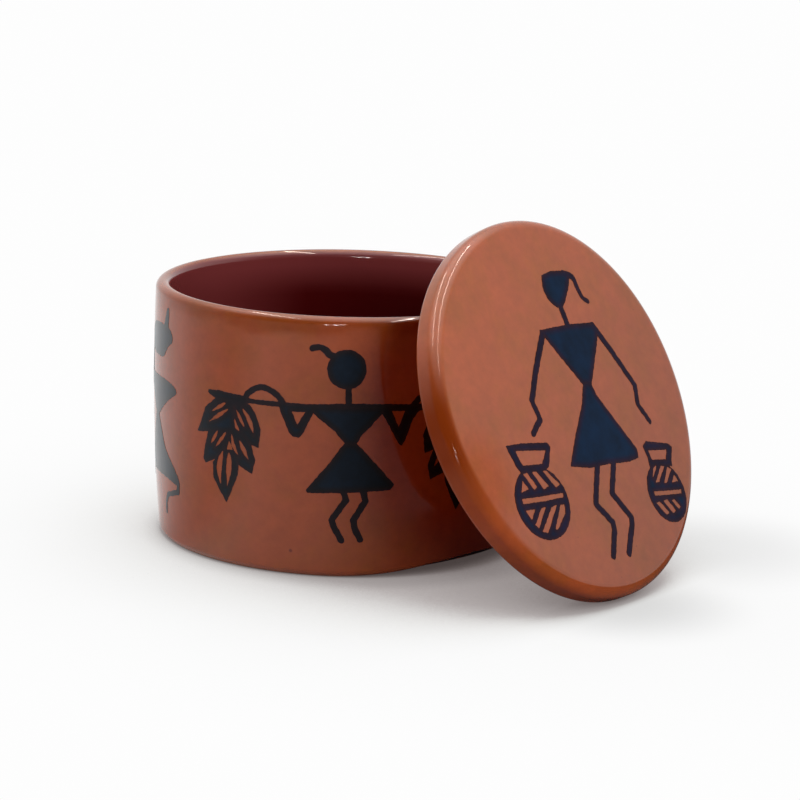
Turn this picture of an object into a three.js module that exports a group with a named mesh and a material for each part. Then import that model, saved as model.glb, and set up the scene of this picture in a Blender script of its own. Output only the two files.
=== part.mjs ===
// Round keepsake box of glazed terracotta with a lift-off lid.
// Millimetres, +Z up. The origin is the centre of the box's flat foot, on the surface that it stands on.
// The lid is off: it leans on the box's rim at the right, with its edge on the same surface.

import * as THREE from 'three';

// The box: one fired pot, its wall slightly barrelled and drawn in towards the foot
const BOX_HEIGHT = 65;
const BOX_FOOT_RADIUS = 48.1;
const BOX_BELLY_RADIUS = 50;
const BOX_RIM_RADIUS = 49.7;
const WALL_THICKNESS = 3.8;
const FLOOR_THICKNESS = 5;
const FOOT_ROUNDING = 2;
const INNER_CORNER_RADIUS = 6;

// The lid: a flat disc with a rounded shoulder, and a locating step under it that drops into the mouth
const LID_INSET = 1.7;
const LID_THICKNESS = 7;
const LID_SHOULDER_WIDTH = 3;
const LID_SHOULDER_HEIGHT = 3;
const LID_EDGE_ROUNDING = 1.5;
const STEP_CLEARANCE = 2.4;
const STEP_DEPTH = 5;
const STEP_ROUNDING = 4.5;

// How the lid leans: the way its face looks, its slope from upright, and its place along its own edge
const LID_TURN = THREE.MathUtils.degToRad(51.7);
const LID_LEAN = THREE.MathUtils.degToRad(27.1);
const LID_SIDEWAYS = -5.1;
const TOUCH_GAP = 0.3;

// Steps round the axis, and along each round stretch of a profile
const TURN_STEPS = 72;
const WALL_STEPS = 10;
const LIP_STEPS = 10;
const FILLET_STEPS = 5;

const mouthRadius = BOX_RIM_RADIUS - WALL_THICKNESS;
const lidRadius = BOX_RIM_RADIUS - LID_INSET;
const stepRadius = mouthRadius - STEP_CLEARANCE;

// Points of an elliptic arc in a profile, where x is the radius and y the height
function arc(centreX, centreY, widthRadius, heightRadius, startDegrees, endDegrees, steps) {
  const points = [];
  for (let i = 0; i <= steps; i += 1) {
    const angle = THREE.MathUtils.degToRad(startDegrees + ((endDegrees - startDegrees) * i) / steps);
    const x = centreX + widthRadius * Math.cos(angle);
    const y = centreY + heightRadius * Math.sin(angle);
    points.push(new THREE.Vector2(x, y));
  }
  return points;
}

// Outer radius of the wall: a parabola through the foot, the belly at half height and the rim
function wallRadius(height) {
  const t = height / BOX_HEIGHT;
  const foot = BOX_FOOT_RADIUS * (1 - t) * (1 - 2 * t);
  const belly = BOX_BELLY_RADIUS * 4 * t * (1 - t);
  const rim = BOX_RIM_RADIUS * t * (2 * t - 1);
  return foot + belly + rim;
}

// Points up or down the wall at one depth below its outer face, without the two ends
function wallPoints(depth, fromHeight, toHeight) {
  const points = [];
  for (let i = 1; i < WALL_STEPS; i += 1) {
    const height = THREE.MathUtils.lerp(fromHeight, toHeight, i / WALL_STEPS);
    points.push(new THREE.Vector2(wallRadius(height) - depth, height));
  }
  return points;
}

// Section of the box: foot, outer wall, rounded lip, inner wall, inner corner and inner floor
function boxProfile() {
  const lipRadius = WALL_THICKNESS / 2;
  const lipHeight = BOX_HEIGHT - lipRadius;
  const lipCentre = wallRadius(lipHeight) - lipRadius;
  const footCentre = wallRadius(FOOT_ROUNDING) - FOOT_ROUNDING;
  const cornerHeight = FLOOR_THICKNESS + INNER_CORNER_RADIUS;
  const cornerCentre = wallRadius(cornerHeight) - WALL_THICKNESS - INNER_CORNER_RADIUS;
  return [
    new THREE.Vector2(0, 0),
    ...arc(footCentre, FOOT_ROUNDING, FOOT_ROUNDING, FOOT_ROUNDING, -90, 0, FILLET_STEPS),
    ...wallPoints(0, FOOT_ROUNDING, lipHeight),
    ...arc(lipCentre, lipHeight, lipRadius, lipRadius, 0, 180, LIP_STEPS),
    ...wallPoints(WALL_THICKNESS, lipHeight, cornerHeight),
    ...arc(cornerCentre, cornerHeight, INNER_CORNER_RADIUS, INNER_CORNER_RADIUS, 0, -90, FILLET_STEPS),
    new THREE.Vector2(0, FLOOR_THICKNESS),
  ];
}

// Section of the lid, with its flat face at height 0 and its underside below
function lidProfile() {
  const underside = -LID_THICKNESS;
  const stepFace = underside - STEP_DEPTH;
  const stepRounding = Math.min(STEP_ROUNDING, STEP_DEPTH);
  const stepCentre = stepRadius - stepRounding;
  const edgeCentre = lidRadius - LID_EDGE_ROUNDING;
  const edgeHeight = underside + LID_EDGE_ROUNDING;
  const shoulderCentre = lidRadius - LID_SHOULDER_WIDTH;
  return [
    new THREE.Vector2(0, stepFace),
    ...arc(stepCentre, stepFace + stepRounding, stepRounding, stepRounding, -90, 0, FILLET_STEPS),
    new THREE.Vector2(stepRadius, underside),
    ...arc(edgeCentre, edgeHeight, LID_EDGE_ROUNDING, LID_EDGE_ROUNDING, -90, 0, FILLET_STEPS),
    ...arc(shoulderCentre, -LID_SHOULDER_HEIGHT, LID_SHOULDER_WIDTH, LID_SHOULDER_HEIGHT, 0, 90, LIP_STEPS),
    new THREE.Vector2(0, 0),
  ];
}

// A solid turned from its profile, with its axis along Z
function turned(name, profile, colour, roughness) {
  const geometry = new THREE.LatheGeometry(profile, TURN_STEPS);
  geometry.rotateX(Math.PI / 2);
  const material = new THREE.MeshStandardMaterial({ color: colour, roughness, metalness: 0 });
  const mesh = new THREE.Mesh(geometry, material);
  mesh.name = name;
  return mesh;
}

function makeBox() {
  return turned('box_body', boxProfile(), 0x8f5240, 0.22);
}

// The lid's lowest point is at height 0, and its locating step clears the box's rim by the touch gap
function makeLid() {
  const profile = lidProfile();
  const cosLean = Math.cos(LID_LEAN);
  const sinLean = Math.sin(LID_LEAN);
  const faceHeight = Math.max(...profile.map((point) => point.x * cosLean - point.y * sinLean));
  const rimReach = Math.max(...boxProfile().map((point) => point.x * cosLean + point.y * sinLean));
  const faceReach = rimReach + TOUCH_GAP + STEP_DEPTH + LID_THICKNESS;
  const standOff = (faceReach - faceHeight * sinLean) / cosLean;

  const lid = turned('lid', profile, 0xa3624c, 0.22);
  lid.rotation.x = Math.PI / 2 - LID_LEAN;
  lid.position.set(LID_SIDEWAYS, -standOff, faceHeight);

  const turnedStand = new THREE.Group();
  turnedStand.rotation.z = LID_TURN;
  turnedStand.add(lid);
  return turnedStand;
}

const keepsakeBox = new THREE.Group();
keepsakeBox.add(makeBox());
keepsakeBox.add(makeLid());

export default keepsakeBox;
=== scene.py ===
"""Looks of the round keepsake box: glazed terracotta with dark painted folk figures, its lid leaning on it.

Lengths are written in millimetres and turned into Blender's metres by MM, unless a comment says metres.
The frame is the part's own: +Z up, the origin at the centre of the box's foot.
"""

import math

import bpy
import numpy as np
from mathutils import Matrix, Vector
from mathutils.geometry import delaunay_2d_cdt


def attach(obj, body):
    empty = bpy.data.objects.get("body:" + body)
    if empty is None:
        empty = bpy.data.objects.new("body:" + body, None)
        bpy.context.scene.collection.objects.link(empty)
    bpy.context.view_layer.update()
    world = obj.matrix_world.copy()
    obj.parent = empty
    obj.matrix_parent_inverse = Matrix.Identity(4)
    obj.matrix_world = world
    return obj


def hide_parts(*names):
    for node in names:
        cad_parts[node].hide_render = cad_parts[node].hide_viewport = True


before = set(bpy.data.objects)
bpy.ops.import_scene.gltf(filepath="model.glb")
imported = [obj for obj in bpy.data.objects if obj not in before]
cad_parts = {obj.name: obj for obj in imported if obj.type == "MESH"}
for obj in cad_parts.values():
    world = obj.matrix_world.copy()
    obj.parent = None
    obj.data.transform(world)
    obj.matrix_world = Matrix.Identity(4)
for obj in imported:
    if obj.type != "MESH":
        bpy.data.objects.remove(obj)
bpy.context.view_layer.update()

MM = 0.001

# Sizes of the box, as in the part
BOX_HEIGHT = 65.0
FOOT_RADIUS = 48.1
BELLY_RADIUS = 50.0
RIM_RADIUS = 49.7
WALL_THICKNESS = 3.8
FLOOR_THICKNESS = 5.0
FOOT_ROUNDING = 2.0
INNER_CORNER_RADIUS = 6.0

# Sizes of the lid, as in the part
LID_RADIUS = 48.0
LID_THICKNESS = 7.0
SHOULDER = 3.0
LID_EDGE_ROUNDING = 1.5
STEP_RADIUS = 43.5
STEP_DEPTH = 5.0
STEP_ROUNDING = 4.5

# Place of the lid: the centre of its face, its turn to the right and its lean from upright
LID_CENTRE = Vector((54.026, -49.166, 45.382))
LID_TURN = math.radians(51.7)
LID_LEAN = math.radians(27.1)

# Unevenness of the hand-made clay; the foot's edge is worn up at the right of its front
WALL_WAVE = 0.10
FOOT_LIFT = 3.6
FOOT_LIFT_BEARING = 45.0
FOOT_LIFT_SPREAD = 55.0
FOOT_LIFT_INNER = 38.0
FOOT_LIFT_OUTER = 46.0
FOOT_LIFT_TOP = 12.0
LID_OVAL = 0.8

# Steps round the axis, and along each stretch of a turned profile
TURN_STEPS = 240
FLAT_STEPS = 12
FACE_STEPS = 22
UNDERSIDE_STEPS = 3
OUTER_WALL_STEPS = 44
INNER_WALL_STEPS = 26
LIP_STEPS = 20
CORNER_STEPS = 12
EDGE_STEPS = 8

# The photograph's camera: angles in radians; the nearest and farthest that it sees are in metres
CAMERA_PLACE = Vector((0.0, -774.05, 206.27))
CAMERA_YAW = 0.0172
CAMERA_PITCH = 0.2186
CAMERA_ROLL = 0.0276
FOCAL_PIXELS = 3077.25
PICTURE_SIDE = 800
SENSOR = 36.0
NEAREST_SEEN = 0.05
FARTHEST_SEEN = 60.0

lid_normal = Vector((
    math.sin(LID_TURN) * math.cos(LID_LEAN),
    -math.cos(LID_TURN) * math.cos(LID_LEAN),
    math.sin(LID_LEAN),
))
lid_across = Vector((math.cos(LID_TURN), math.sin(LID_TURN), 0.0))
lid_up = lid_normal.cross(lid_across)


def put(name, data):
    """An object of this name in the scene."""
    thing = bpy.data.objects.new(name, data)
    bpy.context.scene.collection.objects.link(thing)
    return thing


# Camera

def make_camera():
    forward = Vector((
        math.sin(CAMERA_YAW) * math.cos(CAMERA_PITCH),
        math.cos(CAMERA_YAW) * math.cos(CAMERA_PITCH),
        -math.sin(CAMERA_PITCH),
    ))
    level_right = Vector((math.cos(CAMERA_YAW), -math.sin(CAMERA_YAW), 0.0))
    level_up = level_right.cross(forward)
    right = level_right * math.cos(CAMERA_ROLL) + level_up * math.sin(CAMERA_ROLL)
    up = level_up * math.cos(CAMERA_ROLL) - level_right * math.sin(CAMERA_ROLL)
    data = bpy.data.cameras.new("photo_camera")
    data.sensor_width = SENSOR
    data.lens = FOCAL_PIXELS / PICTURE_SIDE * SENSOR
    data.clip_start = NEAREST_SEEN
    data.clip_end = FARTHEST_SEEN
    camera = put("photo_camera", data)
    turn = Matrix((right, up, -forward)).transposed()
    camera.matrix_world = Matrix.Translation(CAMERA_PLACE * MM) @ turn.to_4x4()
    bpy.context.scene.camera = camera


# Turned clay shapes

def arc(centre, level, rounding, start, end, steps):
    points = []
    for i in range(steps + 1):
        angle = math.radians(start + (end - start) * i / steps)
        points.append((centre + rounding * math.cos(angle), level + rounding * math.sin(angle)))
    return points


def straight(level, start, end, steps):
    """Points at one level from one radius to another, without the two ends."""
    return [(start + (end - start) * i / steps, level) for i in range(1, steps)]


def wall_radius(height):
    """Outer radius of the wall: a parabola through foot, belly and rim."""
    t = height / BOX_HEIGHT
    foot = FOOT_RADIUS * (1 - t) * (1 - 2 * t)
    belly = BELLY_RADIUS * 4 * t * (1 - t)
    rim = RIM_RADIUS * t * (2 * t - 1)
    return foot + belly + rim


def wall_points(depth, low, high, steps):
    points = []
    for i in range(1, steps):
        height = low + (high - low) * i / steps
        points.append((wall_radius(height) - depth, height))
    return points


def box_profile():
    """Radius and height of the box's section, from under the foot over the lip to the inner floor."""
    lip = WALL_THICKNESS / 2
    lip_height = BOX_HEIGHT - lip
    lip_centre = wall_radius(lip_height) - lip
    foot_centre = wall_radius(FOOT_ROUNDING) - FOOT_ROUNDING
    corner = INNER_CORNER_RADIUS
    corner_height = FLOOR_THICKNESS + corner
    corner_centre = wall_radius(corner_height) - WALL_THICKNESS - corner
    return [
        (0.0, 0.0),
        *straight(0.0, 0.0, foot_centre, FLAT_STEPS),
        *arc(foot_centre, FOOT_ROUNDING, FOOT_ROUNDING, -90, 0, EDGE_STEPS),
        *wall_points(0.0, FOOT_ROUNDING, lip_height, OUTER_WALL_STEPS),
        *arc(lip_centre, lip_height, lip, 0, 180, LIP_STEPS),
        *wall_points(WALL_THICKNESS, lip_height, corner_height, INNER_WALL_STEPS),
        *arc(corner_centre, corner_height, corner, 0, -90, CORNER_STEPS),
        *straight(FLOOR_THICKNESS, corner_centre, 0.0, FLAT_STEPS),
        (0.0, FLOOR_THICKNESS),
    ]


def lid_profile():
    """Radius and height of the lid's section, from under the step round the edge to the face."""
    underside = -LID_THICKNESS
    step_face = underside - STEP_DEPTH
    step_centre = STEP_RADIUS - STEP_ROUNDING
    edge = LID_EDGE_ROUNDING
    edge_centre = LID_RADIUS - edge
    shoulder_centre = LID_RADIUS - SHOULDER
    return [
        (0.0, step_face),
        *straight(step_face, 0.0, step_centre, FLAT_STEPS),
        *arc(step_centre, step_face + STEP_ROUNDING, STEP_ROUNDING, -90, 0, CORNER_STEPS),
        (STEP_RADIUS, underside),
        *straight(underside, STEP_RADIUS, edge_centre, UNDERSIDE_STEPS),
        *arc(edge_centre, underside + edge, edge, -90, 0, EDGE_STEPS),
        *arc(shoulder_centre, -SHOULDER, SHOULDER, 0, 90, LIP_STEPS),
        *straight(0.0, shoulder_centre, 0.0, FACE_STEPS),
        (0.0, 0.0),
    ]


def rising(value, start, end):
    """0 up to start, 1 from end on, and straight between; end may be the smaller of the two."""
    return min(max((value - start) / (end - start), 0.0), 1.0)


def wall_wave(angle, height):
    """How far the wall stands out of true at one place."""
    slow = math.sin(3 * angle + 0.045 * height + 0.6) + 0.6 * math.sin(5 * angle - 0.07 * height + 2.1)
    return WALL_WAVE * slow


def lid_wave(angle):
    """How far the lid's edge stands out of round, as its outline in the photograph does."""
    two_sided = 0.3 * math.cos(2 * angle) + math.sin(2 * angle)
    three_sided = -0.29 * math.cos(3 * angle) + 0.34 * math.sin(3 * angle)
    return LID_OVAL * (two_sided + three_sided)


def foot_lift(radius, height, angle):
    """How far the worn part of the foot's edge stands above the floor."""
    turn = (math.degrees(angle) - FOOT_LIFT_BEARING + 180) % 360 - 180
    if abs(turn) >= FOOT_LIFT_SPREAD or height >= FOOT_LIFT_TOP:
        return 0.0
    along = math.cos(math.pi / 2 * turn / FOOT_LIFT_SPREAD) ** 3
    outward = rising(radius, FOOT_LIFT_INNER, FOOT_LIFT_OUTER) ** 2
    return FOOT_LIFT * along * outward * (1 - height / FOOT_LIFT_TOP) ** 2


def box_point(radius, height, angle):
    reach = radius + wall_wave(angle, height) * min(radius / RIM_RADIUS, 1.0)
    level = height + foot_lift(radius, height, angle)
    return Vector((reach * math.sin(angle), -reach * math.cos(angle), level)) * MM


def lid_place(x, y, out):
    """A place by its distances across the lid's face, up it and out of it."""
    return (LID_CENTRE + lid_across * x + lid_up * y + lid_normal * out) * MM


def lid_point(radius, height, angle):
    reach = radius * (1 + lid_wave(angle) / LID_RADIUS)
    return lid_place(reach * math.cos(angle), reach * math.sin(angle), height)


def turned(name, profile, place):
    """A closed solid turned from its profile; its first and last points lie on the axis."""
    points = [place(0.0, profile[0][1], 0.0), place(0.0, profile[-1][1], 0.0)]
    rings = profile[1:-1]
    for radius, height in rings:
        for i in range(TURN_STEPS):
            points.append(place(radius, height, 2 * math.pi * i / TURN_STEPS))
    faces = []
    last = 2 + (len(rings) - 1) * TURN_STEPS
    for i in range(TURN_STEPS):
        j = (i + 1) % TURN_STEPS
        faces.append((0, 2 + j, 2 + i))
        faces.append((1, last + i, last + j))
        for k in range(len(rings) - 1):
            low = 2 + k * TURN_STEPS
            high = low + TURN_STEPS
            faces.append((low + i, low + j, high + j, high + i))
    mesh = bpy.data.meshes.new(name)
    mesh.from_pydata(points, [], faces)
    mesh.validate()
    mesh.polygons.foreach_set("use_smooth", [True] * len(mesh.polygons))
    return put(name, mesh)


def mark(piece, name, value_of):
    """Keeps one number per vertex for the material: value_of takes the vertex's place in millimetres."""
    layer = piece.data.attributes.new(name, "FLOAT", "POINT")
    layer.data.foreach_set("value", [value_of(v.co / MM) for v in piece.data.vertices])


# Paint: shapes drawn on a flat chart in millimetres, then laid on the clay as a thin closed film

PAINT_THICKNESS = 0.05
PAINT_SINK = 0.05
FULL_DEPTH = 1.8
BRUSH_WOBBLE = 0.06

# The chart's grid, and the film's points inside the paint's edge
CELL = 0.2
WRAP_STEP = 0.55
INNER_MARGIN = 0.35
FIELD_MARGIN = 1.0
UNPAINTED = 5.0
FAR_OFF = 1e9
CROSSING_MARGIN = 0.02
NEAR_ZERO = 1e-4
TINY = 1e-12
CHART_TOLERANCE = 1e-6
LEAST_AREA = 1e-9

# Steps of a curve between two points, of an oval and of a slit; a slit is fullest past its middle
CURVE_STEPS = 6
OVAL_STEPS = 28
SLIT_STEPS = 12
SLIT_FULLNESS = 0.85


def segment_distance(x, y, start, end):
    """How far each place is from a line, and its share of the way along it."""
    run, rise = end[0] - start[0], end[1] - start[1]
    share = ((x - start[0]) * run + (y - start[1]) * rise) / (run * run + rise * rise + TINY)
    share = np.clip(share, 0, 1)
    return np.hypot(x - start[0] - share * run, y - start[1] - share * rise), share


def smooth_line(points):
    """A Catmull-Rom curve through the points."""
    ends = [points[0]] + list(points) + [points[-1]]
    line = [points[0]]
    for i in range(len(points) - 1):
        before, start, end, after = (np.array(p, float) for p in ends[i:i + 4])
        for k in range(1, CURVE_STEPS + 1):
            t = k / CURVE_STEPS
            slope = (end - before) * t
            square = (2 * before - 5 * start + 4 * end - after) * t ** 2
            cube = (3 * start - before - 3 * end + after) * t ** 3
            line.append(tuple(0.5 * (2 * start + slope + square + cube)))
    return line


class Shape:
    """A shape on the chart: it adds paint, unless cut() made it."""

    takes_away = False

    def corners(self):
        return [(x + s * self.reach, y + s * self.reach) for x, y in self.points for s in (-1, 1)]


class Stroke(Shape):
    """A brush line; its width can taper from start to end."""

    def __init__(self, points, width, end_width=None, curved=False):
        self.points = smooth_line(points) if curved else list(points)
        self.start = width / 2
        self.end = (end_width or width) / 2
        self.reach = max(self.start, self.end)

    def distance(self, x, y):
        found = np.full(x.shape, FAR_OFF)
        spans = len(self.points) - 1
        for i in range(spans):
            apart, along = segment_distance(x, y, self.points[i], self.points[i + 1])
            share = (i + along) / spans
            found = np.minimum(found, apart - (self.start + (self.end - self.start) * share))
        return found


class Patch(Shape):
    """A filled outline with its corners rounded."""

    def __init__(self, points, rounding=0.1, curved=False):
        self.points = smooth_line(list(points) + [points[0]])[:-1] if curved else list(points)
        self.reach = rounding

    def distance(self, x, y):
        found = np.full(x.shape, FAR_OFF)
        inside = np.zeros(x.shape, bool)
        for i, start in enumerate(self.points):
            end = self.points[(i + 1) % len(self.points)]
            found = np.minimum(found, segment_distance(x, y, start, end)[0])
            crosses = (start[1] > y) != (end[1] > y)
            rise = end[1] - start[1] if end[1] != start[1] else TINY
            inside ^= crosses & (x < start[0] + (y - start[1]) * (end[0] - start[0]) / rise)
        return np.where(inside, -found, found) - self.reach


def cut(points, rounding=0.0):
    """An outline taken out of what was drawn before it."""
    shape = Patch(points, rounding)
    shape.takes_away = True
    return shape


def oval(centre, width, height):
    """A filled oval of this half width and half height."""
    points = []
    for i in range(OVAL_STEPS):
        angle = 2 * math.pi * i / OVAL_STEPS
        points.append((centre[0] + width * math.cos(angle), centre[1] + height * math.sin(angle)))
    return Patch(points, 0.0)


def slit(base, tip, width, bow=0.0):
    """A light gap left in a leaf, pointed at both ends; bow bends it sideways."""
    base, tip = np.array(base, float), np.array(tip, float)
    along = tip - base
    side = np.array((-along[1], along[0])) / np.hypot(*along)
    edges = []
    for sign in (-1, 1):
        line = []
        for i in range(SLIT_STEPS + 1):
            t = i / SLIT_STEPS
            swell = math.sin(math.pi * t ** SLIT_FULLNESS) * width / 2 * sign + math.sin(math.pi * t) * bow
            line.append(tuple(base + along * t + side * swell))
        edges.append(line)
    return cut(edges[0] + edges[1][::-1])


def brush_wobble(x, y):
    """Small unevenness of a brush's edge."""
    fine = np.sin(2.9 * x + 1.7 * y + 0.5) * np.sin(2.3 * y - 1.9 * x + 1.3)
    coarse = np.sin(0.9 * x - 1.2 * y + 2.0) * np.sin(1.1 * x + 0.7 * y)
    return BRUSH_WOBBLE * fine + BRUSH_WOBBLE * coarse


def extent(shapes):
    """The lowest and highest place of the chart that the shapes can reach."""
    corners = [c for s in shapes for c in s.corners()]
    return np.min(corners, axis=0) - FIELD_MARGIN, np.max(corners, axis=0) + FIELD_MARGIN


def paint_field(shapes):
    """The drawing's signed distance on a grid: below zero is paint."""
    low, high = extent(shapes)
    xs = np.arange(low[0], high[0] + CELL, CELL)
    ys = np.arange(low[1], high[1] + CELL, CELL)
    field = np.full((len(ys), len(xs)), UNPAINTED)
    for shape in shapes:
        low, high = extent([shape])
        i0, i1 = np.searchsorted(xs, (low[0], high[0]))
        j0, j1 = np.searchsorted(ys, (low[1], high[1]))
        x, y = np.meshgrid(xs[i0:i1], ys[j0:j1])
        part = field[j0:j1, i0:i1]
        if shape.takes_away:
            np.maximum(part, -shape.distance(x, y), out=part)
        else:
            np.minimum(part, shape.distance(x, y), out=part)
    x, y = np.meshgrid(xs, ys)
    return xs, ys, field + brush_wobble(x, y)


def edge_lines(xs, ys, field):
    """Marching squares: the points and the short lines of the paint's edge."""
    field = np.where(np.abs(field) < NEAR_ZERO, NEAR_ZERO, field)
    painted = field < 0
    points, index, lines = [], {}, []

    def crossing(j, i, upright):
        key = (j, i, upright)
        if key not in index:
            start = field[j, i]
            end = field[j + 1, i] if upright else field[j, i + 1]
            t = min(max(start / (start - end), CROSSING_MARGIN), 1 - CROSSING_MARGIN)
            x = xs[i] + (0 if upright else t * CELL)
            y = ys[j] + (t * CELL if upright else 0)
            index[key] = len(points)
            points.append((x, y))
        return index[key]

    filled = painted[:-1, :-1].astype(int) + painted[1:, :-1] + painted[:-1, 1:] + painted[1:, 1:]
    for j, i in zip(*np.nonzero((filled > 0) & (filled < 4))):
        here, beside = painted[j, i], painted[j, i + 1]
        above, opposite = painted[j + 1, i], painted[j + 1, i + 1]
        low = crossing(j, i, False) if here != beside else None
        right = crossing(j, i + 1, True) if beside != opposite else None
        high = crossing(j + 1, i, False) if opposite != above else None
        left = crossing(j, i, True) if above != here else None
        met = [p for p in (low, right, high, left) if p is not None]
        if len(met) == 2:
            lines.append((met[0], met[1]))
        else:
            middle = field[j:j + 2, i:i + 2].mean() < 0
            pairs = ((low, right), (high, left)) if here != middle else ((low, left), (right, high))
            lines.extend(pairs)
    return points, lines


def field_at(xs, ys, field, x, y):
    u = (x - xs[0]) / CELL
    v = (y - ys[0]) / CELL
    i = np.clip(u.astype(int), 0, len(xs) - 2)
    j = np.clip(v.astype(int), 0, len(ys) - 2)
    s, t = u - i, v - j
    low = field[j, i] * (1 - s) + field[j, i + 1] * s
    high = field[j + 1, i] * (1 - s) + field[j + 1, i + 1] * s
    return low * (1 - t) + high * t


def wall_place(x, y, out):
    """Chart to wall: x runs round the wall from its front, at the belly's radius, and y is the height."""
    angle = x / BELLY_RADIUS
    return box_point(wall_radius(y) + out, y, angle)


def normal_at(place, x, y):
    """The clay's outward direction at one place of the chart."""
    across = place(x + CELL, y, 0.0) - place(x - CELL, y, 0.0)
    upward = place(x, y + CELL, 0.0) - place(x, y - CELL, 0.0)
    return across.cross(upward).normalized()


def film_chart(xs, ys, field):
    """The painted part of the chart as triangles: its points, and each triangle's point numbers."""
    points, lines = edge_lines(xs, ys, field)
    grid = np.meshgrid(np.arange(xs[0], xs[-1], WRAP_STEP), np.arange(ys[0], ys[-1], WRAP_STEP))
    grid_x, grid_y = (v.ravel() for v in grid)
    deep = field_at(xs, ys, field, grid_x, grid_y) < -INNER_MARGIN
    points += list(zip(grid_x[deep], grid_y[deep]))
    found = delaunay_2d_cdt([Vector(p) for p in points], lines, [], 0, CHART_TOLERANCE)
    chart = np.array([tuple(p) for p in found[0]])
    triangles = np.array(found[2])
    middle = chart[triangles].mean(axis=1)
    triangles = triangles[field_at(xs, ys, field, middle[:, 0], middle[:, 1]) < 0]
    first, second, third = (chart[triangles[:, k]] for k in range(3))
    one, other = second - first, third - first
    area = one[:, 0] * other[:, 1] - one[:, 1] * other[:, 0]
    triangles = np.where((area < 0)[:, None], triangles[:, ::-1], triangles)[np.abs(area) > LEAST_AREA]
    used = np.unique(triangles)
    renumber = np.zeros(len(chart), int)
    renumber[used] = np.arange(len(used))
    return chart[used], renumber[triangles]


def open_sides(triangles):
    """The sides that only one triangle has, in that triangle's direction."""
    sides = {}
    for triangle in triangles.tolist():
        for start, end in zip(triangle, triangle[1:] + triangle[:1]):
            if (end, start) in sides:
                del sides[(end, start)]
            else:
                sides[(start, end)] = True
    return list(sides)


def paint_film(name, shapes, place, body):
    """A closed film of paint: its top stands just proud of the clay, its underside just in it."""
    xs, ys, field = paint_field(shapes)
    chart, triangles = film_chart(xs, ys, field)
    count = len(chart)
    top = [place(x, y, PAINT_THICKNESS) for x, y in chart]
    under = [place(x, y, -PAINT_SINK) for x, y in chart]
    faces = triangles.tolist() + (triangles[:, ::-1] + count).tolist()
    faces += [(end, start, start + count, end + count) for start, end in open_sides(triangles)]
    mesh = bpy.data.meshes.new(name)
    mesh.from_pydata(top + under, [], faces)
    mesh.polygons.foreach_set("use_smooth", [True] * len(mesh.polygons))
    normals = [normal_at(place, x, y) for x, y in chart]
    split = []
    for face in mesh.polygons:
        if face.index < len(triangles):
            split += [normals[v] for v in face.vertices]
        elif face.index < 2 * len(triangles):
            split += [-normals[v - count] for v in face.vertices]
        else:
            split += [face.normal.copy()] * len(face.vertices)
    mesh.normals_split_custom_set(split)
    depth = np.clip(-field_at(xs, ys, field, chart[:, 0], chart[:, 1]) / FULL_DEPTH, 0, 1)
    layer = mesh.attributes.new("depth", "FLOAT", "POINT")
    layer.data.foreach_set("value", np.concatenate((depth, depth)))
    mesh.materials.append(paints[body])
    piece = put(name, mesh)
    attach(piece, body)


# Materials: sizes, depths and distances are in millimetres

BARE_CLAY = (0.42, 0.17, 0.09)
BARE_ROUGHNESS = 0.75
GLAZE_IOR = 1.5
GLAZE_SHINE = 0.5
SHINE_LOST = 0.42
LEAST_TONE_AND_LIGHT = 0.64
CLOUD_SIZE = 22.0
MOTTLE_SIZE = 3.2
MOTTLE = ((0.3, 0.89), (0.7, 1.08))
BROWN_SIZE = 13.0
BROWN_TINT = (0.87, 0.99, 0.55)
PIT_SPACING = 5.0
PIT_SHARE = 0.30
PIT_RADIUS = 0.22
PIT_STRENGTH = 0.45
PIT_COLOUR = (0.10, 0.02, 0.01)
PIT_DEPTH = 0.02
PEEL_SIZE = 0.9
PEEL_DEPTH = 0.004
GLOSS_SIZE = 9.0
WAVE_SIZE = 6.0
WAVE_DEPTH = 0.03

# A dark pinhole low on the front of the wall: its place, tint, radius and reach
PINHOLE = (-13.26, -46.80, 6.3)
PINHOLE_TINT = (0.45, 0.35, 0.35)
PINHOLE_RADIUS = 0.15
PINHOLE_REACH = 0.65

PAINT_CLOUD_SIZE = 5.0
PAINT_CLOUD = ((0.3, 0.70), (0.7, 1.20))
PAINT_GLOSS_SIZE = 2.5
PAINT_GLOSS = ((0.3, 0.12), (0.7, 0.22))
PAINT_HAZE_ROUGHNESS = 0.35
PAINT_HAZE_TINT = (0.50, 0.88, 1.0)
BRISTLE_SIZE = 1.1
BRISTLE_DEPTH = 0.008


def new_material(name):
    material = bpy.data.materials.new(name)
    material.use_nodes = True
    tree = material.node_tree
    return material, tree, tree.nodes["Principled BSDF"]


def feed(node, inputs):
    """Sets a node's inputs, by name or number, to values or to other nodes' outputs."""
    for key, value in inputs.items():
        socket = node.inputs[key]
        if isinstance(value, bpy.types.NodeSocket):
            node.id_data.links.new(value, socket)
        elif socket.type == "RGBA":
            socket.default_value = (*value, 1.0)
        else:
            socket.default_value = value


def add(tree, kind, inputs=None, **settings):
    node = tree.nodes.new("ShaderNode" + kind)
    for key, value in settings.items():
        setattr(node, key, value)
    feed(node, inputs or {})
    return node


def noise(tree, place, size, detail=3.0, roughness=0.5):
    """Noise with features of about this size."""
    inputs = {"Vector": place, "Scale": 1 / (size * MM), "Detail": detail, "Roughness": roughness}
    return add(tree, "TexNoise", inputs).outputs["Fac"]


def ramp(tree, value, stops):
    node = add(tree, "ValToRGB", {"Fac": value})
    elements = node.color_ramp.elements
    while len(elements) < len(stops):
        elements.new(0.5)
    for element, (place, colour) in zip(elements, stops):
        element.position = place
        element.color = (*colour, 1.0)
    return node.outputs["Color"]


def grey(value):
    return (value, value, value)


def grey_ramp(tree, value, stops):
    """A ramp through greys, from pairs of place and level."""
    return ramp(tree, value, [(place, grey(level)) for place, level in stops])


def mix(tree, factor, a, b, blend="MIX"):
    return add(tree, "Mix", {0: factor, 6: a, 7: b}, data_type="RGBA", blend_type=blend).outputs[2]


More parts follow.
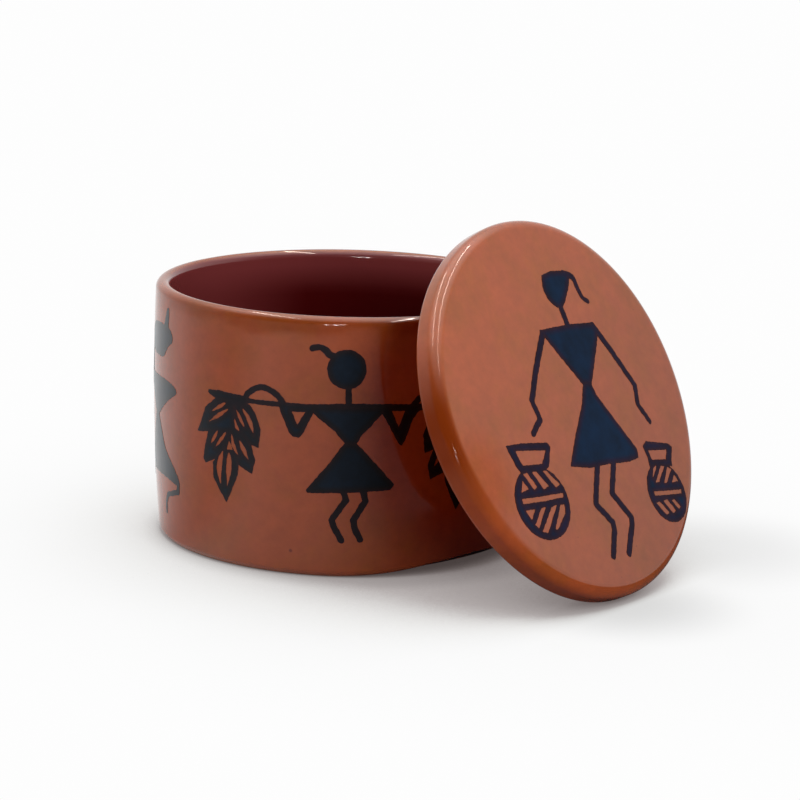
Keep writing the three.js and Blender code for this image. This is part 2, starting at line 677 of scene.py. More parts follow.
def tinted(tree, colour, tint):
    return mix(tree, 1.0, colour, tint, "MULTIPLY")


def math_node(tree, operation, *values):
    return add(tree, "Math", dict(enumerate(values)), operation=operation).outputs[0]


def own_number(tree, name):
    """A number kept on the mesh for each vertex; 0 where the mesh has none of this name."""
    return add(tree, "Attribute", attribute_name=name).outputs["Fac"]


def own_place(tree):
    """The place in the part's own frame, in metres."""
    return add(tree, "TexCoord").outputs["Object"]


def bump(tree, height, distance, under=None):
    """Relief of this depth, laid over the relief under it."""
    inputs = {"Strength": 1.0, "Distance": distance * MM, "Height": height}
    if under is not None:
        inputs["Normal"] = under
    return add(tree, "Bump", inputs).outputs["Normal"]


def distance_from(tree, place, centre):
    apart = add(tree, "VectorMath", {0: place, 1: Vector(centre) * MM}, operation="DISTANCE")
    return apart.outputs["Value"]


def smooth_step(tree, value, start, end, full=1.0):
    """0 below start, full above end, smooth between."""
    inputs = {"Value": value, "From Min": start, "From Max": end, "To Max": full}
    return add(tree, "MapRange", inputs, interpolation_type="SMOOTHSTEP").outputs["Result"]


def away_from(tree, place, centre, start, end):
    return smooth_step(tree, distance_from(tree, place, centre), start * MM, end * MM)


def specks(tree, place, spacing, share, radius):
    """Sparse round specks: 1 in a speck, 0 elsewhere; share is how many of the cells have one."""
    cells = add(tree, "TexVoronoi", {"Vector": place, "Scale": 1 / (spacing * MM)}, feature="F1")
    near = math_node(tree, "LESS_THAN", cells.outputs["Distance"], radius / spacing)
    chance = add(tree, "SeparateColor", {"Color": cells.outputs["Color"]}).outputs[0]
    return math_node(tree, "MULTIPLY", near, math_node(tree, "LESS_THAN", chance, share))


def glaze_colour(tree, place, pits, light, dark, shade_colours, pinhole):
    """Cloudy red-brown, browner in patches, with pits, and other colours, painted shade and painted light
    where the mesh is marked.
    """
    colour = ramp(tree, noise(tree, place, CLOUD_SIZE, 4.0, 0.55), ((0.32, dark), (0.68, light)))
    colour = tinted(tree, colour, grey_ramp(tree, noise(tree, place, MOTTLE_SIZE, 5.0, 0.6), MOTTLE))
    # Darker where the glaze ran thin on the box, and painted light on the lid, lighter towards its upper
    # left
    tone_and_light = grey_ramp(tree, own_number(tree, "tone_and_light"), ((0.0, LEAST_TONE_AND_LIGHT), (1.0, 1.0)))
    colour = tinted(tree, colour, tone_and_light)
    patches = noise(tree, place, BROWN_SIZE, 4.0, 0.6)
    colour = tinted(tree, colour, ramp(tree, patches, ((0.44, grey(1.0)), (0.68, BROWN_TINT))))
    colour = mix(tree, math_node(tree, "MULTIPLY", pits, PIT_STRENGTH), colour, PIT_COLOUR)
    if pinhole is not None:
        clear = away_from(tree, place, pinhole, PINHOLE_RADIUS, PINHOLE_REACH)
        colour = tinted(tree, colour, mix(tree, clear, PINHOLE_TINT, grey(1.0)))
    # Painted shade where the mesh is marked inside: the box's inner wall, darker deeper down, and the lid's
    # rim band
    inside = mix(tree, own_number(tree, "deep"), *shade_colours)
    return mix(tree, own_number(tree, "inside"), colour, inside)


def glaze_material(name, light, dark, shade_colours, roughness, pinhole=None):
    """Glossy fired glaze over red clay: cloudy colour, pinholes, a faint orange-peel surface."""
    material, tree, shader = new_material(name)
    place = own_place(tree)
    pits = specks(tree, place, PIT_SPACING, PIT_SHARE, PIT_RADIUS)
    bare = own_number(tree, "bare")
    colour = glaze_colour(tree, place, pits, light, dark, shade_colours, pinhole)
    dull = own_number(tree, "dull")
    levels = ((0.3, roughness * 0.8), (0.7, roughness * 1.25))
    gloss = grey_ramp(tree, noise(tree, place, GLOSS_SIZE), levels)
    wavy = bump(tree, noise(tree, place, WAVE_SIZE, 2.0), WAVE_DEPTH)
    peel = bump(tree, noise(tree, place, PEEL_SIZE, 2.0), PEEL_DEPTH, wavy)
    feed(shader, {
        "Base Color": mix(tree, bare, colour, BARE_CLAY),
        "Specular IOR Level": math_node(tree, "MULTIPLY_ADD", dull, -SHINE_LOST, GLAZE_SHINE),
        "Roughness": mix(tree, bare, gloss, grey(BARE_ROUGHNESS)),
        "IOR": GLAZE_IOR,
        "Normal": bump(tree, math_node(tree, "MULTIPLY", pits, -1.0), PIT_DEPTH, peel),
    })
    return material


def paint_material(name, by_depth, shine, tint, haze):
    """Dark brush paint: navy where it lies thick, brown-black where it is thin, duller than the glaze."""
    material, tree, shader = new_material(name)
    place = own_place(tree)
    body = ramp(tree, own_number(tree, "depth"), by_depth)
    cloud = grey_ramp(tree, noise(tree, place, PAINT_CLOUD_SIZE, 4.0, 0.6), PAINT_CLOUD)
    wavy = bump(tree, noise(tree, place, WAVE_SIZE, 2.0), WAVE_DEPTH)
    feed(shader, {
        "Base Color": tinted(tree, body, cloud),
        "Roughness": grey_ramp(tree, noise(tree, place, PAINT_GLOSS_SIZE), PAINT_GLOSS),
        "Specular IOR Level": shine,
        "Specular Tint": grey(tint),
        "Sheen Weight": haze,
        "Sheen Roughness": PAINT_HAZE_ROUGHNESS,
        "Sheen Tint": PAINT_HAZE_TINT,
        "Normal": bump(tree, noise(tree, place, BRISTLE_SIZE), BRISTLE_DEPTH, wavy),
    })
    return material


# Drawings

CELL_ROUNDING = 0.05


def moved(shapes, shift, flip=False):
    """The shapes moved along the chart, and mirrored first if asked."""
    for shape in shapes:
        shape.points = [((-x if flip else x) + shift, y) for x, y in shape.points]
    return shapes


def carrier():
    """A figure seen from the front with a pole across its shoulders and a bunch of leaves at each end."""
    hoop = [
        (-26.2, 43.0), (-25.1, 45.1), (-21.6, 46.8), (-17.8, 45.5), (-16.0, 43.4), (-14.4, 41.1),
        (-13.1, 38.0),
    ]
    pole = [
        (-27.0, 43.0), (-18.0, 43.0), (-9.2, 43.0), (-0.8, 43.5), (7.7, 43.4), (18.7, 43.1), (24.5, 43.4),
    ]
    tuft = [(-9.0, 57.5), (-7.2, 57.8), (-5.6, 57.1), (-4.6, 56.0), (-3.2, 55.5)]
    torso = [
        (-9.6, 43.2), (-8.7, 41.8), (-3.0, 37.3), (-0.1, 33.9), (2.1, 34.1), (3.3, 36.3), (8.0, 41.5),
        (9.0, 43.3),
    ]
    skirt = [
        (-0.6, 34.4), (-4.1, 29.3), (-9.9, 22.1), (-9.6, 21.5), (-0.3, 22.0), (10.8, 22.7), (11.6, 24.0),
        (8.1, 28.0), (2.4, 34.2),
    ]
    left_arm = [
        (-17.4, 43.5), (-14.4, 36.6), (-13.4, 35.4), (-12.0, 35.2), (-11.2, 35.9), (-8.6, 41.2),
        (-8.0, 43.5),
    ]
    right_arm = [(7.7, 43.2), (12.4, 34.6), (13.2, 33.8), (13.9, 34.8), (16.0, 40.5), (18.7, 43.6)]
    return [
        oval((-0.5, 52.6), 4.8, 4.9),
        Stroke(tuft, 1.5, 1.9, True),
        Stroke([(0.0, 48.6), (0.1, 43.6)], 1.6),
        Stroke(pole, 1.2, 1.75, True),
        Patch(torso),
        Patch(skirt),
        Stroke([(-0.8, 22.6), (0.0, 20.1), (-3.4, 14.9), (-2.5, 12.4), (-0.9, 9.8)], 1.6),
        Stroke([(4.1, 22.6), (4.8, 19.9), (1.9, 15.0), (2.4, 12.7), (3.7, 10.1)], 1.65),
        Patch(left_arm),
        cut([(-13.9, 41.5), (-10.4, 41.6), (-12.3, 38.4)]),
        Patch(right_arm),
        cut([(10.7, 42.4), (13.9, 42.3), (12.4, 38.4)]),
        Stroke(hoop, 1.5, 1.6, True),
        *moved([Stroke(hoop[:-2], 1.5, 1.6, True)], 0.0, True),
        *leaf_bunch(),
        *moved(leaf_bunch(), -3.0, True),
    ]


def leaf_bunch():
    """Five leaves hanging from the left end of the pole, each with light slits beside its ribs."""
    leaves = [
        [
            (-30.0, 42.2), (-34.8, 42.5), (-38.5, 39.4), (-40.3, 35.2), (-41.5, 32.9), (-37.4, 33.5),
            (-32.0, 34.0), (-29.0, 35.0),
        ],
        [
            (-37.4, 34.0), (-39.1, 28.3), (-39.4, 26.3), (-38.7, 25.3), (-34.8, 27.2), (-33.0, 29.0),
            (-30.5, 34.5),
        ],
        [
            (-33.0, 29.5), (-36.1, 25.8), (-36.0, 22.0), (-33.9, 19.0), (-32.0, 16.4), (-30.3, 19.7),
            (-28.3, 24.0), (-28.1, 26.6), (-29.5, 30.0),
        ],
        [
            (-28.3, 26.6), (-24.2, 24.8), (-23.3, 28.3), (-24.4, 31.7), (-26.0, 34.0), (-30.0, 36.0),
            (-30.5, 32.0),
        ],
        [
            (-24.4, 32.2), (-22.4, 31.6), (-21.8, 36.1), (-23.5, 40.4), (-24.9, 41.9), (-29.0, 42.0),
            (-29.0, 38.0), (-27.5, 35.0),
        ],
    ]
    knot = [
        (-37.5, 44.0), (-33.8, 44.3), (-25.6, 43.9), (-25.6, 42.0), (-34.8, 42.2), (-36.1, 42.6),
        (-37.5, 43.4),
    ]
    return [
        *(Patch(leaf) for leaf in leaves),
        slit((-31.7, 41.6), (-36.6, 38.6), 0.9),
        slit((-30.9, 40.2), (-37.4, 35.9), 1.0),
        slit((-34.4, 34.1), (-36.8, 30.4), 0.9),
        slit((-31.7, 34.2), (-35.4, 29.6), 0.9),
        slit((-32.8, 29.3), (-33.6, 20.3), 1.7, -0.9),
        slit((-30.9, 29.6), (-31.6, 20.6), 1.7, 0.25),
        slit((-30.1, 34.2), (-27.7, 28.4), 1.0, -0.6),
        slit((-27.9, 32.9), (-25.0, 27.9), 1.2),
        slit((-28.7, 40.3), (-26.1, 35.9), 0.9),
        slit((-26.9, 40.9), (-23.6, 34.4), 1.2, 0.5),
        Patch(knot),
        Stroke([(-29.9, 41.6), (-29.9, 37.6), (-31.0, 34.0), (-32.0, 30.2)], 1.5, 1.1),
    ]


def lid_woman():
    """A woman between two water pots, drawn across the lid."""
    head = [(6.3, 32.1), (10.6, 32.7), (16.6, 31.4), (14.9, 27.8), (9.5, 23.4), (5.9, 25.6), (5.0, 29.0)]
    torso = [
        (-2.2, 19.1), (9.4, 18.9), (18.4, 18.1), (20.5, 16.2), (18.9, 13.4), (10.4, 3.4), (7.0, 3.8),
        (2.0, 11.9),
    ]
    skirt = [
        (7.4, 4.2), (3.7, -1.0), (-4.0, -8.7), (-9.2, -14.5), (-2.1, -16.1), (6.2, -16.6), (14.5, -17.5),
        (18.4, -17.2), (19.0, -15.1), (14.5, -6.8), (10.8, 0.1), (10.1, 3.9),
    ]
    return [
        Patch(head, curved=True),
        Stroke([(14.9, 31.6), (18.1, 30.2), (18.7, 27.0), (19.4, 24.6), (21.0, 23.4)], 1.9, 1.2, True),
        Stroke([(9.2, 24.0), (9.4, 18.6)], 1.9),
        Patch(torso),
        Stroke([(19.3, 17.2), (22.9, 10.5), (27.6, 0.2), (26.0, -4.5), (28.3, -9.4)], 2.0, 1.5),
        Stroke([(-1.6, 18.2), (-9.2, 10.1), (-14.9, 3.2), (-14.4, -1.7), (-18.9, -4.5)], 2.0, 1.6),
        Patch(skirt),
        Stroke([(1.4, -15.6), (-4.9, -24.9), (-0.9, -30.3), (-1.3, -32.2), (-5.4, -38.0)], 1.9),
        Stroke([(8.2, -16.0), (2.9, -23.6), (7.0, -30.6), (6.3, -32.2), (1.0, -38.6)], 1.9),
        *left_pot(),
        *right_pot(),
    ]


def left_pot():
    """A round water pot with an open neck, a light band and slanting cells above and below it."""
    neck = [
        (-30.6, -5.6), (-25.1, -5.9), (-15.0, -7.5), (-14.4, -8.6), (-17.5, -12.9), (-19.0, -13.6),
        (-28.5, -12.6), (-29.5, -10.7),
    ]
    cells = [
        [(-27.9, -7.3), (-16.7, -9.1), (-19.6, -11.9), (-26.9, -11.1)],
        [(-29.1, -14.5), (-28.0, -16.7), (-30.9, -17.0)],
        [(-27.9, -13.1), (-26.4, -13.0), (-24.6, -16.8), (-26.0, -17.2)],
        [(-24.5, -13.2), (-22.9, -13.3), (-20.2, -17.4), (-22.3, -17.8)],
        [(-20.3, -13.7), (-19.1, -13.8), (-15.9, -17.7), (-17.6, -18.3)],
        [(-31.6, -18.6), (-22.5, -19.5), (-15.8, -20.0), (-16.2, -20.9), (-23.4, -20.5), (-31.9, -19.7)],
        [(-31.8, -21.4), (-28.3, -21.7), (-30.8, -23.8)],
        [(-25.7, -21.9), (-24.2, -22.0), (-29.3, -26.2), (-30.1, -25.2)],
        [(-22.0, -22.5), (-19.7, -22.2), (-26.6, -27.9), (-28.3, -27.2)],
        [(-18.3, -22.5), (-16.9, -22.7), (-17.7, -24.7), (-22.5, -27.8), (-23.4, -27.7)],
    ]
    return [oval((-24.6, -20.8), 10.1, 9.1), Patch(neck), *(cut(cell, CELL_ROUNDING) for cell in cells)]


def right_pot():
    """A smaller pot of the same kind."""
    neck = [
        (21.8, -14.8), (23.8, -14.0), (32.1, -16.0), (33.5, -17.2), (31.1, -20.5), (30.8, -21.7),
        (21.8, -20.1), (22.2, -18.0),
    ]
    cells = [
        [(23.3, -16.3), (30.8, -17.4), (29.2, -19.6), (23.6, -18.7)],
        [(23.0, -20.8), (24.5, -20.4), (21.6, -22.9), (21.2, -22.9)],
        [(26.1, -20.9), (27.5, -21.2), (23.2, -24.4), (21.9, -24.3)],
        [(28.6, -21.6), (29.9, -22.4), (26.4, -25.1), (25.3, -25.1)],
        [(30.4, -23.8), (31.0, -25.7), (28.6, -25.5)],
        [(19.7, -26.4), (31.0, -28.0), (30.5, -28.8), (19.6, -27.4)],
        [(19.0, -29.2), (20.5, -29.1), (22.9, -32.5), (21.5, -32.8)],
        [(22.1, -29.3), (23.8, -29.2), (25.8, -32.5), (24.4, -32.9)],
        [(25.5, -29.8), (26.8, -29.8), (28.2, -31.9), (27.3, -32.3)],
    ]
    return [oval((24.8, -27.5), 7.6, 7.8), Patch(neck), *(cut(cell, CELL_ROUNDING) for cell in cells)]


def walker():
    """A taller figure in profile, drawn round the front line of the chart."""
    head = [
        (-10.2, 52.0), (-7.6, 54.9), (-1.0, 56.1), (4.4, 56.1), (7.2, 55.6), (8.8, 54.4), (8.8, 52.8),
        (6.4, 51.2), (4.6, 49.4), (3.2, 48.2), (0.0, 47.8), (-5.4, 47.9), (-9.0, 49.4),
    ]
    torso = [
        (-12.6, 42.0), (-2.7, 42.4), (4.9, 42.5), (10.2, 41.8), (11.6, 40.2), (8.3, 38.4), (3.3, 35.4),
        (-0.6, 32.8), (-3.4, 32.8), (-8.4, 37.6),
    ]
    skirt = [
        (-3.2, 33.2), (-0.6, 32.6), (4.3, 24.9), (10.4, 20.3), (12.0, 18.4), (11.0, 16.6), (5.8, 17.3),
        (-1.3, 17.4), (-12.8, 16.8), (-8.0, 24.8),
    ]
    return [
        Patch(head, curved=True),
        Stroke([(5.8, 60.2), (4.8, 55.6)], 1.6, 3.2),
        Stroke([(-8.8, 49.2), (-9.8, 42.0)], 1.8),
        Patch(torso, curved=True),
        Patch(skirt),
        Stroke([(11.2, 18.6), (11.9, 17.0), (11.7, 14.9), (5.2, 12.9), (3.9, 10.6), (3.7, 8.0)], 1.6, 1.1),
        Stroke([(-12.4, 17.2), (-12.6, 14.8), (-18.4, 12.9), (-19.4, 10.6), (-19.6, 8.0)], 1.6, 1.1),
        Stroke([(-12.2, 41.6), (-16.6, 35.6), (-14.6, 29.8)], 1.7, 1.3),
    ]


def dancer():
    """A figure with both arms raised."""
    skirt = [(-0.8, 34.0), (1.4, 34.0), (6.0, 27.6), (10.6, 21.8), (0.4, 21.0), (-10.0, 21.6), (-5.0, 28.2)]
    return [
        oval((0.0, 51.8), 4.6, 4.7),
        Stroke([(1.6, 56.2), (4.4, 57.6), (6.4, 56.4)], 1.7, 1.2, True),
        Stroke([(0.0, 48.0), (0.2, 42.6)], 1.8),
        Patch([(-8.2, 42.6), (8.6, 42.4), (3.4, 36.2), (1.4, 33.4), (-0.8, 33.4), (-3.2, 37.0)], 0.2),
        Patch(skirt, 0.2),
        Stroke([(-7.8, 42.2), (-12.4, 46.4), (-11.4, 53.0)], 1.8, 1.4),
        Stroke([(8.2, 42.0), (12.8, 45.4), (12.6, 52.2)], 1.8, 1.4),
        Stroke([(-3.0, 21.6), (-2.0, 16.0), (-5.0, 9.4)], 1.8, 1.5),
        Stroke([(3.4, 21.6), (4.6, 16.2), (2.0, 9.6)], 1.8, 1.5),
    ]


# Marks: where the glaze changes, and where shade and light are painted; each pair runs from none to full,
# and the ends of the lid's painted shade are in degrees

BARE_HEIGHT = (0.9, 0.4)
INSIDE_RADIUS = (47.0, 46.4)
# Painted shade inside the box: by height, and less of it at the left
DEEP_HEIGHT = (61.0, 54.0)
DEEP_SIDE = (-48.0, -12.0)
LEAST_DEEP = 0.35
THIN_RADIUS = 48.2
THIN_EDGE = 60.4
THIN_RISE = 1.2
THIN_TOP = (64.5, 64.0)
LEAST_THIN = 0.15
THIN_DULL = 0.7
THIN_DARK = 0.4
# Painted shade on the lid's rim band, low at its left: its radii, and where it starts and ends in degrees
RIM_SHADE_RADIUS = (45.6, 46.8)
RIM_SHADE_START = (150.0, 172.0)
RIM_SHADE_END = (208.0, 186.0)
DULL_CENTRE = (-43.0, -12.0)
DULL_REACH = (15.0, 5.0)
DULL_STRENGTH = 0.7


def box_inside(place):
    if place.z <= FLOOR_THICKNESS - 1:
        return 0.0
    return rising(math.hypot(place.x, place.y), *INSIDE_RADIUS)


def box_shade_depth(place):
    """Painted shade inside the box: darker below the mouth, less so at its left."""
    return rising(place.z, *DEEP_HEIGHT) * max(rising(place.x, *DEEP_SIDE), LEAST_DEEP)


def box_thin(place):
    """Up to 1 on the band under the rim where the glaze ran thin and brown; its lower edge is uneven."""
    if math.hypot(place.x, place.y) < THIN_RADIUS:
        return 0.0
    angle = math.atan2(place.x, -place.y)
    edge = THIN_EDGE + 0.8 * math.sin(7 * angle + 1.0) + 0.6 * math.sin(17 * angle + 0.5)
    strength = min(max(0.50 + 0.65 * math.cos(angle - 0.4), LEAST_THIN), 1.0)
    return rising(place.z, edge, edge + THIN_RISE) * rising(place.z, *THIN_TOP) * strength


def on_lid(place):
    """A place's distances from the middle of the lid's face, across it and up it."""
    offset = place - LID_CENTRE
    return offset.dot(lid_across), offset.dot(lid_up)


def lid_rim_shade(place):
    """Painted shade on the lid's rim band, low at its left."""
    across, upward = on_lid(place)
    turn = math.degrees(math.atan2(upward, across)) % 360
    rim = rising(math.hypot(across, upward), *RIM_SHADE_RADIUS)
    return rim * rising(turn, *RIM_SHADE_START) * rising(turn, *RIM_SHADE_END)


def lid_dull(place):
    """The glaze shines less on the rim band of painted shade, and on a patch of the face beside that."""
    across, upward = on_lid(place)
    apart = math.hypot(across - DULL_CENTRE[0], upward - DULL_CENTRE[1])
    return max(lid_rim_shade(place), DULL_STRENGTH * rising(apart, *DULL_REACH))


def lid_painted_light(place):
    """Painted light: the lid is lighter towards its upper left."""
    across, upward = on_lid(place)
    return rising(-0.45 * across + 0.89 * upward, -LID_RADIUS, LID_RADIUS)


# Making the pieces

# Each glaze's light and dark colour, and the shallow and deep colour of its painted shade where the mesh is
# marked inside
BOX_GLAZE = ((0.375, 0.080, 0.018), (0.335, 0.071, 0.014))
# The lid's glaze is the box's glaze painted lighter, for the stronger light on the lid
LID_GLAZE_LIT = ((0.480, 0.104, 0.024), (0.436, 0.095, 0.021))
BOX_INSIDE_SHADE = ((0.215, 0.042, 0.043), (0.074, 0.0038, 0.0042))
LID_RIM_SHADE = ((0.23, 0.038, 0.003),) * 2
# Colours of each paint by its depth
WALL_PAINT = ((0.0, (0.020, 0.007, 0.009)), (0.45, (0.007, 0.007, 0.012)), (1.0, (0.0025, 0.0110, 0.026)))
LID_PAINT = ((0.0, (0.030, 0.010, 0.014)), (0.45, (0.012, 0.009, 0.030)), (1.0, (0.0018, 0.0155, 0.046)))

# Places of the figures along the wall's chart, to either side of its front
HALF_ROUND = math.pi * BELLY_RADIUS
WALKER_PLACE = 63.0
DANCER_PLACE = 97.5

make_camera()

box_piece = turned("glazed_box", box_profile(), box_point)
lid_piece = turned("glazed_lid", lid_profile(), lid_point)

mark(box_piece, "inside", box_inside)
mark(box_piece, "deep", box_shade_depth)
mark(box_piece, "dull", lambda place: THIN_DULL * box_thin(place))
mark(box_piece, "tone_and_light", lambda place: 1.0 - THIN_DARK * box_thin(place))
mark(box_piece, "bare", lambda place: rising(place.z, *BARE_HEIGHT))
# The lid's rim band gets painted shade, low at its left
mark(lid_piece, "inside", lid_rim_shade)
mark(lid_piece, "dull", lid_dull)
# Painted light: the lid lighter towards its upper left
mark(lid_piece, "tone_and_light", lid_painted_light)

box_glaze = glaze_material("box_glaze", *BOX_GLAZE, BOX_INSIDE_SHADE, 0.07, PINHOLE)
lid_glaze = glaze_material("lid_glaze", *LID_GLAZE_LIT, LID_RIM_SHADE, 0.08)
paints = {
    "box": paint_material("wall_paint", WALL_PAINT, shine=0.5, tint=0.30, haze=0.45),
    "lid": paint_material("lid_paint", LID_PAINT, shine=0.05, tint=1.0, haze=0.0),
}

for piece, material, body, node in (
    (box_piece, box_glaze, "box", "box_body"),
    (lid_piece, lid_glaze, "lid", "lid"),
):
    piece.data.materials.append(material)
    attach(piece, body)
    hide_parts(node)

paint_film("carrier_front", carrier(), wall_place, "box")
paint_film("carrier_back", moved(carrier(), HALF_ROUND), wall_place, "box")
paint_film("walker_left", moved(walker(), -WALKER_PLACE), wall_place, "box")
paint_film("walker_right", moved(walker(), WALKER_PLACE, True), wall_place, "box")
paint_film("dancer_left", moved(dancer(), -DANCER_PLACE), wall_place, "box")
paint_film("dancer_right", moved(dancer(), DANCER_PLACE, True), wall_place, "box")
paint_film("woman_on_lid", lid_woman(), lid_place, "lid")


# Floor: white to the eye, with shade painted near the object; half its side, its level and SHADE_REACH are
# in metres

FLOOR_SIDE = 6.0
FLOOR_LEVEL = -0.00005
# The floor's colour for the light it bounces: reddish, so that the bounced light tints the shade on the box
# red
FLOOR_COLOUR = (0.36, 0.17, 0.13)
FLOOR_WHITE = 0.985
SHADE_REACH = 0.12
SHADE_SAMPLES = 16
# The floor's painted shade by how much of the sky it sees, as the camera sees it and as the glaze mirrors
# it
SEEN_SHADE = (
    (0.0, (0.12, 0.09, 0.085)), (0.25, (0.35, 0.315, 0.31)), (0.44, (0.45, 0.41, 0.405)),
    (0.5, (0.60, 0.575, 0.565)), (0.6, (0.76, 0.745, 0.735)), (0.7, (0.86, 0.855, 0.845)),
    (0.85, grey(0.955)), (1.0, grey(FLOOR_WHITE)),
)
MIRRORED_SHADE = ((0.0, 0.0), (0.25, 0.24), (0.42, 0.72), (0.6, 0.95), (0.85, 0.97), (1.0, FLOOR_WHITE))
# How bright the floor looks in the gloss, by direction: 0 is the box's left, 0.25 its front, 0.5 its right
MIRRORED_ROUND = (
    (0.0, 0.76), (0.03, 0.64), (0.064, 0.56), (0.122, 0.92), (0.15, 0.84), (0.18, 0.74), (0.222, 0.66),
    (0.25, 0.50), (0.285, 0.34), (0.305, 0.20), (0.38, 0.15), (0.43, 0.10), (0.54, 0.10), (0.60, 0.80),
    (0.70, 1.0), (0.95, 1.0), (1.0, 0.76),
)
# Where the shade is full, under the box and under the lid: centre and radius; beyond it fades to white
SHADED = (((0.0, 0.0, 0.0), 50.0), ((56.0, -70.0, 0.0), 52.0))
FADE_START = 15.0
FADE_END = 130.0
# Painted soft shadows: centre, where each starts to fade, where it ends, how dark it is
SHADE_SPOTS = (
    ((68.0, -68.0, 0.0), 4.0, 34.0, 0.80),
    ((96.0, -12.0, 0.0), 6.0, 44.0, 0.88),
    ((4.0, -2.0, 0.0), 49.0, 58.0, 0.86),
    ((0.0, 0.0, 0.0), 42.0, 50.0, 0.55),
)


def seen_colour(tree, place, open_sky):
    """What the camera sees: white, with painted shade close to the object and the painted soft shadows."""
    apart = []
    for centre, reach in SHADED:
        apart.append(math_node(tree, "SUBTRACT", distance_from(tree, place, centre), reach * MM))
    plain = smooth_step(tree, math_node(tree, "MINIMUM", *apart), FADE_START * MM, FADE_END * MM)
    shade = mix(tree, plain, ramp(tree, open_sky, SEEN_SHADE), grey(FLOOR_WHITE))
    for centre, start, end, least in SHADE_SPOTS:
        light = away_from(tree, place, centre, start, end)
        shade = tinted(tree, shade, mix(tree, light, grey(least), grey(1.0)))
    return shade


def mirrored_colour(tree, place, open_sky):
    """What the glaze mirrors: a floor with painted shade, darker close to the object and in some
    directions.
    """
    direction = add(tree, "TexGradient", {"Vector": place}, gradient_type="RADIAL").outputs["Fac"]
    round_box = grey_ramp(tree, direction, MIRRORED_ROUND)
    return tinted(tree, grey_ramp(tree, open_sky, MIRRORED_SHADE), round_box)


def seen_ray(tree):
    """1 for a ray from the camera or off a shiny surface."""
    path = add(tree, "LightPath").outputs
    first = math_node(tree, "MAXIMUM", path["Is Camera Ray"], path["Is Glossy Ray"])
    return math_node(tree, "MAXIMUM", first, path["Is Transmission Ray"])


def choose_shader(tree, kind, factor, usual, other):
    """Sends the usual shader to the output where factor is 0, and the other where it is 1."""
    choose = add(tree, "MixShader", {0: factor, 1: usual.outputs[0], 2: other.outputs[0]})
    add(tree, kind, {"Surface": choose.outputs[0]})


def make_floor():
    mesh = bpy.data.meshes.new("studio_floor")
    corners = ((-1, -1), (1, -1), (1, 1), (-1, 1))
    points = [(x * FLOOR_SIDE, y * FLOOR_SIDE, FLOOR_LEVEL) for x, y in corners]
    mesh.from_pydata(points, [], [(0, 1, 2, 3)])
    put("studio_floor", mesh)
    material, tree, _ = new_material("studio_floor")
    tree.nodes.clear()
    place = own_place(tree)
    sky = add(tree, "AmbientOcclusion", {"Distance": SHADE_REACH}, samples=SHADE_SAMPLES).outputs["AO"]
    glossy = add(tree, "LightPath").outputs["Is Glossy Ray"]
    colour = mix(tree, glossy, seen_colour(tree, place, sky), mirrored_colour(tree, place, sky))
    matt = add(tree, "BsdfDiffuse", {"Color": FLOOR_COLOUR})
    white = add(tree, "Emission", {"Color": colour})
    choose_shader(tree, "OutputMaterial", seen_ray(tree), matt, white)
    mesh.materials.append(material)


# Light, with lengths in metres

ROOM_LIGHT = (0.09, 0.010, 0.006)
BACKDROP_WHITE = 0.982
# How bright the room looks in the gloss, from its front to its back
MIRRORED_ROOM = ((0.0, 0.20), (0.30, 0.30), (0.50, 0.92), (1.0, 0.92))
# The ceiling in the gloss: the steepness where it starts and where it is full, and its brightness
CEILING_RISE = (0.55, 0.92)
CEILING_MIRRORED = 1.6
CEILING_HEIGHT = 2.0

LAMP_DISTANCE = 1.2
LAMP_AIM = Vector((0.02, -0.02, 0.03))
# Each lamp's bearing from the front to the right and its rise in degrees, its width, height and radiance
LAMPS = {
    "key_low": (28.0, 14.0, 0.50, 0.50, 4.1),
    "key_high": (39.0, 34.0, 0.70, 0.50, 5.9),
    "rim_light": (180.0, 64.0, 0.60, 0.60, 7.0),
    "fill_left": (-90.0, 12.0, 0.60, 0.50, 7.0),
}
# Small lamps that show only as glints: bearing and rise, then the size and radiance that they share
GLINTS = {"glint_left": (-13.0, 5.0), "glint_middle": (-8.0, 8.0), "glint_right": (-4.0, 14.0)}
GLINT = (0.03, 0.05, 190.0)
# Ceiling tubes that show only in the gloss: place across and back, turn from +Y to the right, length
TUBES = {"ceiling_tube_left": (-0.74, 0.15, 0.0, 1.9), "ceiling_tube_right": (0.60, -0.07, -9.0, 2.6)}
TUBE_WIDTH = 0.035
TUBE_RADIANCE = 50.0
TUBE_COLOUR = (1.0, 0.82, 0.72)


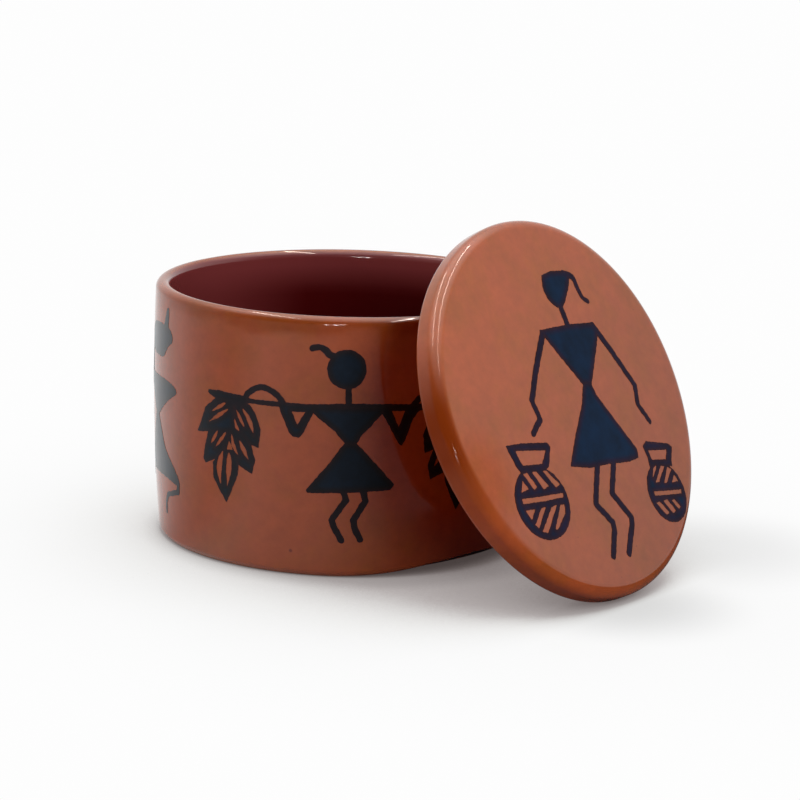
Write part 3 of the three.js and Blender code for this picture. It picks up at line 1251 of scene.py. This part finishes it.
def make_world():
    """White behind the object; a dim room for its own light, brighter where its gloss mirrors the room."""
    world = bpy.data.worlds.new("studio")
    bpy.context.scene.world = world
    world.use_nodes = True
    tree = world.node_tree
    tree.nodes.clear()
    direction = add(tree, "TexCoord").outputs["Generated"]
    split = add(tree, "SeparateXYZ", {0: direction}).outputs
    back = math_node(tree, "MULTIPLY_ADD", split[1], 0.5, 0.5)
    ceiling = smooth_step(tree, split[2], *CEILING_RISE, CEILING_MIRRORED)
    mirrored = mix(tree, 1.0, grey_ramp(tree, back, MIRRORED_ROOM), ceiling, "ADD")
    path = add(tree, "LightPath").outputs
    room = add(tree, "Background", {"Color": mix(tree, path["Is Glossy Ray"], ROOM_LIGHT, mirrored)})
    white = add(tree, "Background", {"Color": grey(1.0), "Strength": BACKDROP_WHITE})
    choose_shader(tree, "OutputWorld", path["Is Camera Ray"], room, white)


def area_lamp(name, width, height, radiance, placing):
    data = bpy.data.lights.new(name, "AREA")
    data.shape = "RECTANGLE"
    data.size = width
    data.size_y = height
    data.energy = radiance * math.pi * width * height
    light = put(name, data)
    light.matrix_world = placing
    return light


def soft_lamp(name, bearing, rise, width, height, radiance):
    """A lamp aimed at the object."""
    turn, lift = math.radians(bearing), math.radians(rise)
    away = Vector((math.sin(turn) * math.cos(lift), -math.cos(turn) * math.cos(lift), math.sin(lift)))
    facing = away.to_track_quat("Z", "Y").to_matrix().to_4x4()
    placing = Matrix.Translation(away * LAMP_DISTANCE + LAMP_AIM) @ facing
    return area_lamp(name, width, height, radiance, placing)


make_floor()
make_world()
for name, (across, back, bearing, length) in TUBES.items():
    turn = Matrix.Rotation(-math.radians(bearing), 4, "Z")
    placing = Matrix.Translation((across, back, CEILING_HEIGHT)) @ turn
    tube = area_lamp(name, TUBE_WIDTH, length, TUBE_RADIANCE, placing)
    tube.data.color = TUBE_COLOUR
    tube.visible_diffuse = False
for name, settings in LAMPS.items():
    soft_lamp(name, *settings).visible_glossy = False
for name, direction in GLINTS.items():
    soft_lamp(name, *direction, *GLINT).visible_diffuse = False

bpy.context.scene.view_settings.view_transform = "Standard"
